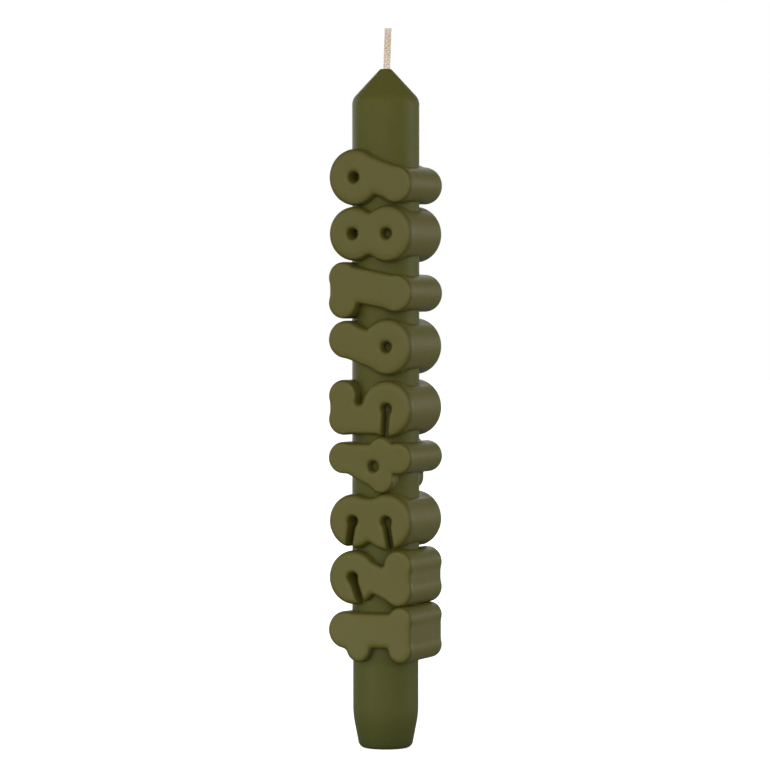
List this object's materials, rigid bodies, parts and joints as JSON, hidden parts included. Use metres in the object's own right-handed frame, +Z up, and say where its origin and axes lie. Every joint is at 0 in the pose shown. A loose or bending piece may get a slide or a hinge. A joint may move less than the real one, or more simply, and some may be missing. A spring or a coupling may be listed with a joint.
{
  "type": "birthday taper candle",
  "caption": "Tall wax taper candle with a tapered foot, a cone tip, a cotton wick and puffy wax numerals threaded up its shaft.",
  "frame": {"origin": "centre of the base, on the surface that the candle stands on", "axes": "+Z up along the wick, -Y towards the viewer of the numerals' faces, +X to that viewer's right"},
  "size_m": [0.03, 0.0292, 0.24],
  "materials": {
    "wax": "satin olive wax",
    "cotton": "braided natural cotton"
  },
  "bodies": {
    "root": {"taper": "wax", "wick": "cotton", "numeral_1": "wax", "numeral_2": "wax", "numeral_3": "wax", "numeral_4": "wax", "numeral_5": "wax", "numeral_6": "wax", "numeral_7": "wax", "numeral_8": "wax", "numeral_9": "wax"}
  },
  "joints": []
}
